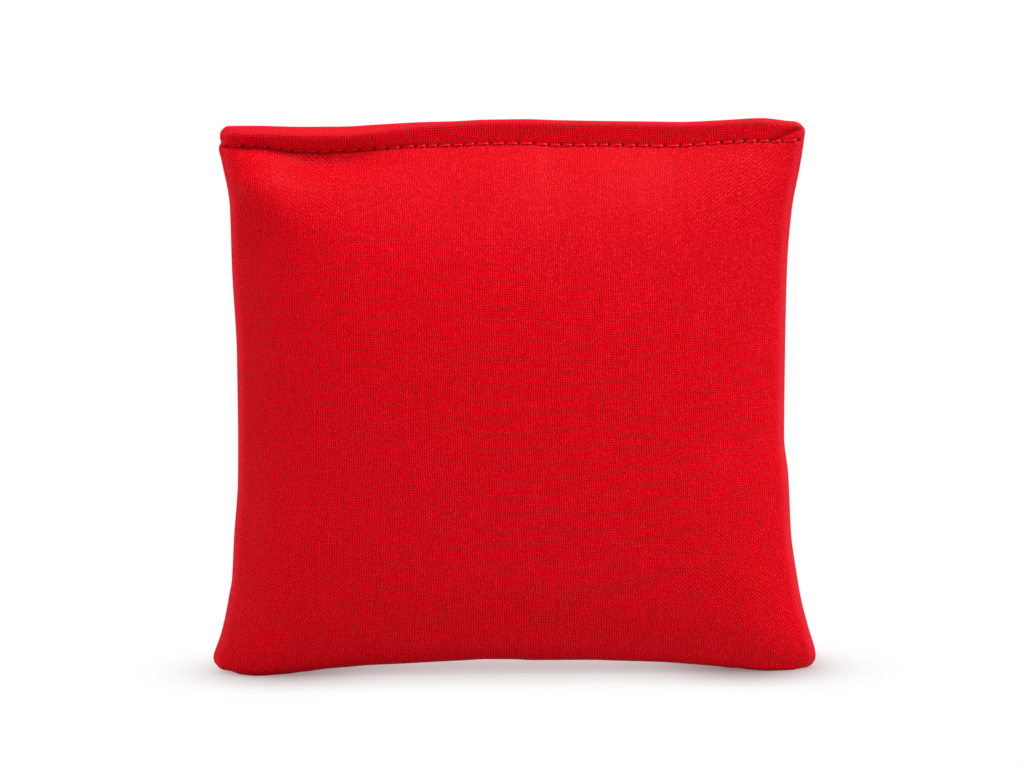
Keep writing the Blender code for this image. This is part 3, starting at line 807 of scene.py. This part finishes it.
def canvas():
    """Red plain-weave duck: round yarns, painted shade in the pits between them, slubs along the warp, pale
    fibre tips with painted glints, painted light on the lit top, painted sheen on the rims, and painted shade
    on the fold band, in the needle holes and the crease.
    """
    g = Graph(bpy.data.materials.new("canvas"))
    cloth = g.add("ShaderNodeUVMap", uv_map="cloth").outputs[0]
    split = g.add("ShaderNodeSeparateXYZ")
    g.feed(split.inputs[0], cloth)
    u, v = split.outputs[0], split.outputs[1]
    drift = g.noise(cloth, scale=120.0, detail=1.0)
    sway = g.noise(g.place(u, v, 0.3), scale=95.0, detail=1.0)
    jitter = g.noise(g.place(u, v, 0.7), scale=750.0, detail=1.0)
    warp_at = g.plus(g.calc("DIVIDE", u, YARN), g.range(drift, 0.0, 1.0, -0.9, 0.9))
    warp_at = g.plus(warp_at, g.range(jitter, 0.3, 0.7, -0.22, 0.22))
    weft_at = g.plus(g.calc("DIVIDE", v, YARN), g.range(sway, 0.0, 1.0, -0.9, 0.9))
    warp_off = g.minus(g.calc("FRACT", warp_at), 0.5)
    weft_off = g.minus(g.calc("FRACT", weft_at), 0.5)
    warp_round = g.calc("COSINE", g.times(warp_off, math.pi))
    weft_round = g.calc("COSINE", g.times(weft_off, math.pi))
    warp_gap = g.minus(1.0, warp_round)
    weft_gap = g.minus(1.0, weft_round)
    crossing = g.calc("FLOORED_MODULO", g.plus(g.calc("FLOOR", warp_at), g.calc("FLOOR", weft_at)), 2.0)
    over = g.minus(g.times(g.calc("GREATER_THAN", crossing, 0.5), 2.0), 1.0)
    slub = g.noise(g.place(g.calc("FLOOR", warp_at), g.times(weft_at, 0.05), 0.0), scale=0.9, detail=3.0)
    thick = g.noise(g.place(g.times(warp_at, 0.05), g.calc("FLOOR", weft_at), 7.0), scale=0.9, detail=3.0)
    speck = g.noise(g.place(warp_at, weft_at, 3.0), scale=1.5, detail=2.0)
    patch = g.noise(cloth, scale=420.0, detail=2.0)
    bias, pit_shade, rim, painted_light, fold, left_rim_sheen = map(g.shade, ("bias", "pit_shade", "rim", "painted_light", "fold", "left_rim_sheen"))
    slant = g.times(g.calc("SIGN", bias), weft_at)
    twill = g.calc("COSINE", g.times(g.plus(warp_at, slant), math.pi))
    askew = g.calc("ABSOLUTE", bias)
    twill = g.times(twill, g.times(askew, 0.8))

    # The yarns' height: warp above weft, each a little proud where it passes over
    relief = g.plus(g.times(warp_round, WARP_RISE), g.times(weft_round, WEFT_RISE))
    knuckle = g.times(warp_round, weft_round)
    knuckle = g.times(knuckle, g.times(over, CROSSING_RISE))
    relief = g.plus(g.plus(relief, knuckle), g.times(twill, SLANT_RISE))

    # The yarns' lightness, 0 in the pits and 1 on top: painted shade in the pits and gaps, and uneven tone at
    # random
    pits = g.times(g.times(warp_gap, weft_gap), PIT_DARK)
    gaps = g.times(warp_gap, WARP_GAP_DARK)
    gaps = g.plus(gaps, g.times(weft_gap, WEFT_GAP_DARK))
    gap_shade = g.minus(g.plus(pits, gaps), MEAN_DARK)
    gap_shade = g.times(gap_shade, g.range(patch, 0.3, 0.7, 0.50, 0.78))
    # Painted light weakens the weave's contrast on the lit top
    gap_shade = g.times(gap_shade, g.range(painted_light, 0.0, 1.0, 1.46, 0.56))
    gap_shade = g.times(gap_shade, g.minus(1.0, g.times(askew, 0.45)))
    uneven = g.plus(g.range(slub, 0.3, 0.7, -0.045, 0.045), g.range(thick, 0.3, 0.7, -0.02, 0.02))
    uneven = g.plus(uneven, g.range(speck, 0.25, 0.75, -0.12, 0.12))
    light = g.plus(g.minus(0.50, gap_shade), uneven)
    light = g.plus(light, g.times(twill, 0.25))
    # Painted light also darkens the yarns a little on the lit top
    light = g.minus(light, g.times(painted_light, 0.035))
    colour = g.blend(light, DEEP_RED, MAIN_RED)
    # Pale fibre tips at random, and painted glints on the yarn tops, pinker where light is painted on the top
    fibre_tips_and_glints = g.times(g.range(light, 0.40, 1.0), g.range(speck, 0.44, 0.72))
    tip_glint_colour = g.blend(painted_light, TIP_AND_GLINT_RED, LIT_TIP_GLINT_RED)
    colour = g.blend(g.times(fibre_tips_and_glints, 0.5), colour, tip_glint_colour)
    # Painted sheen on the rims: paler on the left, darker and pinker on the right and along the top
    edge = g.blend(left_rim_sheen, RIGHT_RIM_SHEEN_RED, LEFT_RIM_SHEEN_RED)
    colour = g.blend(g.times(rim, 0.28), colour, edge)
    # Painted shade on the hem's band towards the fold
    colour = g.blend(g.times(fold, 0.10), colour, FOLD_SHADE_RED)
    # Painted shade in the needle holes and the crease
    colour = g.blend(pit_shade, colour, PIT_SHADE_RED)
    g.give("Base Color", colour)
    strength = g.times(g.range(rim, 0.0, 1.0, 0.80, 0.5), g.range(painted_light, 0.0, 1.0, 1.0, 0.72))
    strength = g.plus(strength, g.times(fold, 0.25))
    g.bump(g.plus(relief, g.times(speck, 0.22)), YARN * YARN_BUMP, strength)
    g.give("Roughness", g.range(relief, 0.2, 1.0, 0.90, 0.50))
    g.give("Specular IOR Level", 0.02)
    g.give("Coat Weight", 0.035)
    g.give("Coat Roughness", 0.42)
    g.give("Sheen Weight", 0.02)
    g.give("Sheen Roughness", 0.30)
    g.give("Sheen Tint", SHEEN_RED)
    return g.owner


def sewing_thread(name, colour, deep):
    """Twisted thread: fine light and dark filaments, and a painted highlight, paler, where a stitch stands
    highest.
    """
    g = Graph(bpy.data.materials.new(name))
    wound = g.add("ShaderNodeUVMap", uv_map="cloth").outputs[0]
    filament = g.noise(wound, scale=9000.0, detail=2.0)
    tone = g.noise(wound, scale=900.0, detail=1.0)
    mixed = g.blend(g.range(filament, 0.35, 0.65), deep, colour)
    mixed = g.blend(g.range(tone, 0.3, 0.7, 0.0, 0.25), mixed, deep)
    # Painted highlight towards the end of each stitch, where it stands highest
    mixed = g.blend(g.range(g.shade("rise"), 0.64, 0.84, 0.0, 0.55), mixed, THREAD_END_GLINT_RED)
    g.give("Base Color", mixed)
    g.bump(filament, THREAD * FILAMENT_BUMP)
    g.give("Roughness", 0.55)
    g.give("Specular IOR Level", 0.05)
    g.give("Sheen Weight", 0.03)
    g.give("Sheen Tint", THREAD_SHEEN_RED)
    return g.owner


def bean_skin():
    """Dried beans: tan skins with darker mottling and a slight gloss."""
    g = Graph(bpy.data.materials.new("bean_skin"))
    place = g.add("ShaderNodeTexCoord").outputs["Object"]
    blotch = g.noise(place, scale=420.0, detail=4.0, rough=0.6)
    shade = g.noise(place, scale=90.0, detail=2.0)
    colour = g.blend(g.range(blotch, 0.42, 0.62), BEAN_TAN, BEAN_BROWN)
    colour = g.blend(g.range(shade, 0.3, 0.7, 0.0, 0.3), colour, BEAN_PALE)
    g.give("Base Color", colour)
    g.give("Roughness", g.range(blotch, 0.3, 0.7, 0.38, 0.55))
    return g.owner


# The beans: half sizes in metres, bend, blunt tip, steps between them, and room to the sides, a face and the
# foot as shares of the half sizes; stray as a share of a step, turn in radians, and the lowest one's height
BEAN_HALVES = (0.0058, 0.0037, 0.0031)
BEAN_BEND = 0.28
BEAN_TIP = 0.02
BEAN_SIDE_ROOM, BEAN_FACE_ROOM, BEAN_FOOT_ROOM = 1.3, 1.2, 1.6
BEAN_STEPS = (2.16, 2.3, 2.25)
BEAN_COUNTS = (14, 9, 19)
BEAN_STRAY = 0.05
BEAN_TURN = 0.22
BEAN_REST = 0.004


def beans(name):
    """Dried beans filling the bag: bent ellipsoids in staggered layers, each turned and moved a little.

    A bean is an ellipsoid whose long axis bends down at both ends by a share of its length squared.
    """
    half_long, half_wide, half_thick = BEAN_HALVES
    around, along = 8, 7
    theta = np.linspace(0.0, math.pi, along)
    phi = np.linspace(0.0, 2.0 * math.pi, around, endpoint=False)
    ring = np.sin(theta)[:, None]
    shape = np.stack([np.repeat(half_long * np.cos(theta)[:, None], around, axis=1),
                      half_wide * ring * np.cos(phi), half_thick * ring * np.sin(phi)], axis=2)
    shape[..., 1] -= BEAN_BEND * half_wide * np.cos(theta)[:, None] ** 2
    shape[[0, -1], :, 1:] += BEAN_TIP * half_thick * np.stack([np.cos(phi), np.sin(phi)], axis=1)
    shape = shape.reshape(-1, 3)
    quads = stacked_quads(along, around)[:, [0, 3, 2, 1]]
    step = np.array(BEAN_STEPS) * np.array([half_long, half_thick, half_wide])
    counts = np.array(BEAN_COUNTS)
    i, j, k = (axis.ravel() for axis in np.meshgrid(*(np.arange(c) for c in counts), indexing="ij"))
    draw = np.random.default_rng(7)
    spot = np.stack([i + 0.5 * ((j + k) % 2), j.astype(float), k.astype(float)], axis=1)
    spot = (spot - (counts - 1) / 2.0) * step + draw.uniform(-BEAN_STRAY, BEAN_STRAY, (len(i), 3)) * step
    spot[:, 2] += BODY_HEIGHT / 2
    foot_room = CLOTH + half_wide * BEAN_FOOT_ROOM
    level = np.clip(spot[:, 2] / BODY_HEIGHT, 0.0, 1.0)
    across = np.clip(spot[:, 0] / WIDTH + 0.5, 0.0, 1.0)
    edge = half_long * BEAN_SIDE_ROOM
    room = crown(np.clip(across + np.sign(across - 0.5) * edge / WIDTH, 0.0, 1.0),
                 np.clip(level + np.sign(level - 0.5) * foot_room / HEIGHT, 0.0, 1.0))
    keep = np.abs(spot[:, 1]) < room - half_wide * BEAN_FACE_ROOM - 2.0 * CLOTH
    keep &= np.abs(spot[:, 0]) < HALF_WIDTH - SIDE_DRAW - SEAM_ALLOWANCE - half_long
    keep &= (spot[:, 2] > foot_room + BEAN_REST) & (spot[:, 2] < BODY_HEIGHT - foot_room)
    spot = spot[keep]
    count = len(spot)
    yaw = draw.uniform(-BEAN_TURN, BEAN_TURN, count)
    tilt = draw.uniform(-BEAN_TURN, BEAN_TURN, count)
    flip = np.where(draw.uniform(size=count) < 0.5, 1.0, -1.0)
    yaw, tilt, flip = yaw[:, None], tilt[:, None], flip[:, None]
    long_axis, wide_axis, thick_axis = shape[:, 0], flip * shape[:, 1], flip * shape[:, 2]
    level_x = np.cos(yaw) * long_axis - np.sin(yaw) * thick_axis
    y = np.sin(yaw) * long_axis + np.cos(yaw) * thick_axis
    x = np.cos(tilt) * level_x - np.sin(tilt) * wide_axis
    z = np.sin(tilt) * level_x + np.cos(tilt) * wide_axis
    points = np.stack([x, y, z], axis=2) + spot[:, None, :]
    every = (quads[None, :, :] + (np.arange(count) * len(shape))[:, None, None]).reshape(-1, 4)
    return make_mesh(name, points.reshape(-1, 3), every)


# Stage: the paper, how bright the page is, and the floor's painted shadow under the bag, in metres and shares
# of white
FLOOR_GREY = (0.62, 0.62, 0.62)
FLOOR_HALF = 6.0
PAGE_LIGHT = 1.1
POOL_BACK = 0.0132
POOL_REACH = 0.0248
POOL_CORE = 0.0193
POOL_POWER = 3.1
POOL_DEPTH = 0.18
POOL_HALF_LENGTH = 0.080
POOL_END = 0.014
FOOT_SPOT = 0.059
LEFT_SPOT_DEPTH = 0.44
RIGHT_SPOT_DEPTH = 0.56
SPOT_REACH = 0.0175
CONTACT_REACH = 0.018
CONTACT_POWER = 0.20
CONTACT_LEAST = 0.075


def floor_material(name, colour):
    """Matt white floor. Camera rays see it as a white page, greyed by a painted shadow where the bag stands.

    The painted shadow is a soft pool along the bag, set by the floor's coordinates and deeper under its two
    corners, times the open share of the sky close by, and it is tinted with a painted red bounce from the
    cloth.
    """
    g = Graph(bpy.data.materials.new(name))
    g.nodes.remove(g.shader)
    path = g.add("ShaderNodeLightPath")
    mirrored = g.calc("MAXIMUM", path.outputs["Is Glossy Ray"], path.outputs["Is Transmission Ray"])
    seen = g.calc("MAXIMUM", path.outputs["Is Camera Ray"], mirrored)
    paper = g.add("ShaderNodeBsdfDiffuse")
    paper.inputs["Color"].default_value = (*colour, 1.0)
    split = g.add("ShaderNodeSeparateXYZ")
    g.feed(split.inputs[0], g.add("ShaderNodeTexCoord").outputs["Object"])
    along, away = g.calc("ABSOLUTE", split.outputs[0]), split.outputs[1]
    # Painted shadow: a soft pool along the bag and a spot under each corner, set by the floor's coordinates
    off = g.calc("ABSOLUTE", g.minus(away, POOL_BACK))
    depth = g.calc("POWER", g.range(off, POOL_REACH, POOL_REACH - POOL_CORE), POOL_POWER)
    ends = g.range(along, POOL_HALF_LENGTH, POOL_HALF_LENGTH - POOL_END)
    shadow_pool = g.times(g.times(depth, ends), POOL_DEPTH)
    off = g.minus(along, FOOT_SPOT)
    reach = g.plus(g.times(off, off), g.times(away, away))
    spot = g.calc("EXPONENT", g.calc("DIVIDE", reach, -SPOT_REACH ** 2))
    shut = g.add("ShaderNodeAmbientOcclusion", samples=12)
    shut.inputs["Distance"].default_value = CONTACT_REACH
    contact = g.calc("POWER", g.calc("MAXIMUM", shut.outputs["AO"], CONTACT_LEAST), CONTACT_POWER)
    spot_depth = g.range(split.outputs[0], -FOOT_SPOT, FOOT_SPOT, LEFT_SPOT_DEPTH, RIGHT_SPOT_DEPTH)
    shade = g.minus(g.minus(1.0, shadow_pool), g.times(spot, spot_depth))
    shade = g.times(g.calc("MAXIMUM", shade, 0.0), contact)
    page = g.add("ShaderNodeEmission")
    # Painted red bounce from the cloth in the shade
    g.feed(page.inputs["Color"], g.blend(shade, PAINTED_BOUNCE_RED, WHITE))
    g.feed(page.inputs["Strength"], shade)
    both = g.add("ShaderNodeMixShader")
    g.feed(both.inputs[0], seen)
    g.links.new(paper.outputs[0], both.inputs[1])
    g.links.new(page.outputs[0], both.inputs[2])
    g.links.new(both.outputs[0], g.nodes["Material Output"].inputs["Surface"])
    return g.owner


def stage_floor():
    """Wide square of paper that the bag stands on."""
    corners = [(x * FLOOR_HALF, y * FLOOR_HALF, 0.0) for x, y in ((-1, -1), (1, -1), (1, 1), (-1, 1))]
    mesh = bpy.data.meshes.new("floor")
    mesh.from_pydata(corners, [], [(0, 1, 2, 3)])
    mesh.materials.append(floor_material("floor_paper", FLOOR_GREY))
    put("floor", mesh)


def world_light(strength):
    """Even white surroundings: the camera sees plain white, and the bag is lit at the given strength."""
    world = bpy.data.worlds.new("studio")
    bpy.context.scene.world = world
    g = Graph(world, "Background")
    path = g.add("ShaderNodeLightPath")
    seen = g.calc("MAXIMUM", path.outputs["Is Camera Ray"], path.outputs["Is Transmission Ray"])
    g.give("Color", WHITE)
    g.give("Strength", g.range(seen, 0.0, 1.0, strength, PAGE_LIGHT))


def point_at(thing, target):
    """Turns a lamp or camera at a place so that its -Z looks at the target."""
    away = Vector(target) - thing.location
    thing.rotation_mode = "QUATERNION"
    thing.rotation_quaternion = away.to_track_quat("-Z", "Y")


def soft_lamp(name, azimuth, elevation, distance, size, power):
    """Square softbox, turned to the bag. Azimuth 0 is in front of the bag and 90 on its right."""
    lamp = bpy.data.lights.new(name, "AREA")
    lamp.shape = "SQUARE"
    lamp.size = size
    lamp.energy = power
    thing = put(name, lamp)
    a, e = math.radians(azimuth), math.radians(elevation)
    thing.location = (distance * math.sin(a) * math.cos(e), -distance * math.cos(a) * math.cos(e),
                      distance * math.sin(e) + HEIGHT / 2)
    point_at(thing, (0.0, 0.0, HEIGHT / 2))


def camera(target, elevation, distance, roll):
    """Long lens in front of the bag, a little above it, and turned a little about its own axis."""
    data = bpy.data.cameras.new("camera")
    data.lens = 135.0
    data.sensor_width = 36.0
    thing = put("camera", data)
    e = math.radians(elevation)
    spot = Vector(target) + distance * Vector((0.0, -math.cos(e), math.sin(e)))
    look = (Vector(target) - spot).to_track_quat("-Z", "Y").to_matrix().to_4x4()
    thing.matrix_world = Matrix.Translation(spot) @ look @ Matrix.Rotation(math.radians(roll), 4, "Z")
    data.clip_start = distance / 100
    data.clip_end = distance * 40
    bpy.context.scene.camera = thing


bpy.context.scene.view_settings.view_transform = "Standard"
camera(target=(-0.0006, 0.0, 0.0732), elevation=7.0, distance=0.972, roll=-0.38)
world_light(strength=0.40)
soft_lamp("key", azimuth=60.0, elevation=59.0, distance=2.2, size=1.1, power=85.0)
soft_lamp("fill", azimuth=-80.0, elevation=1.0, distance=1.8, size=1.2, power=23.5)
stage_floor()

duck = canvas()
needle_red = sewing_thread("needle_thread", THREAD_RED, THREAD_DEEP_RED)
settled = settle()
front = panel("front_cloth", -1.0, settled[0])
back = panel("back_cloth", 1.0, settled[1])
front_stitches = closing_stitches("closing_needle_stitches", -1.0)
back_stitches = closing_stitches("closing_bobbin_stitches", 1.0)
seam_front = seam_stitches("seam_needle_stitches", -1.0)
seam_back = seam_stitches("seam_bobbin_stitches", 1.0)
filling = beans("loose_beans")

for piece, finish, slot, node in ((front, duck, "canvas", "front_panel"),
                                  (back, duck, "canvas", "back_panel"),
                                  (filling, bean_skin(), "beans", "bean_fill"),
                                  (front_stitches, needle_red, "thread", "closing_needle_thread"),
                                  (back_stitches, needle_red, "thread", "closing_bobbin_thread"),
                                  (seam_front, needle_red, "thread", "seam_needle_thread"),
                                  (seam_back, needle_red, "thread", "seam_bobbin_thread")):
    piece.data.materials.append(finish)
    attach(piece, "root")
    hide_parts(node)
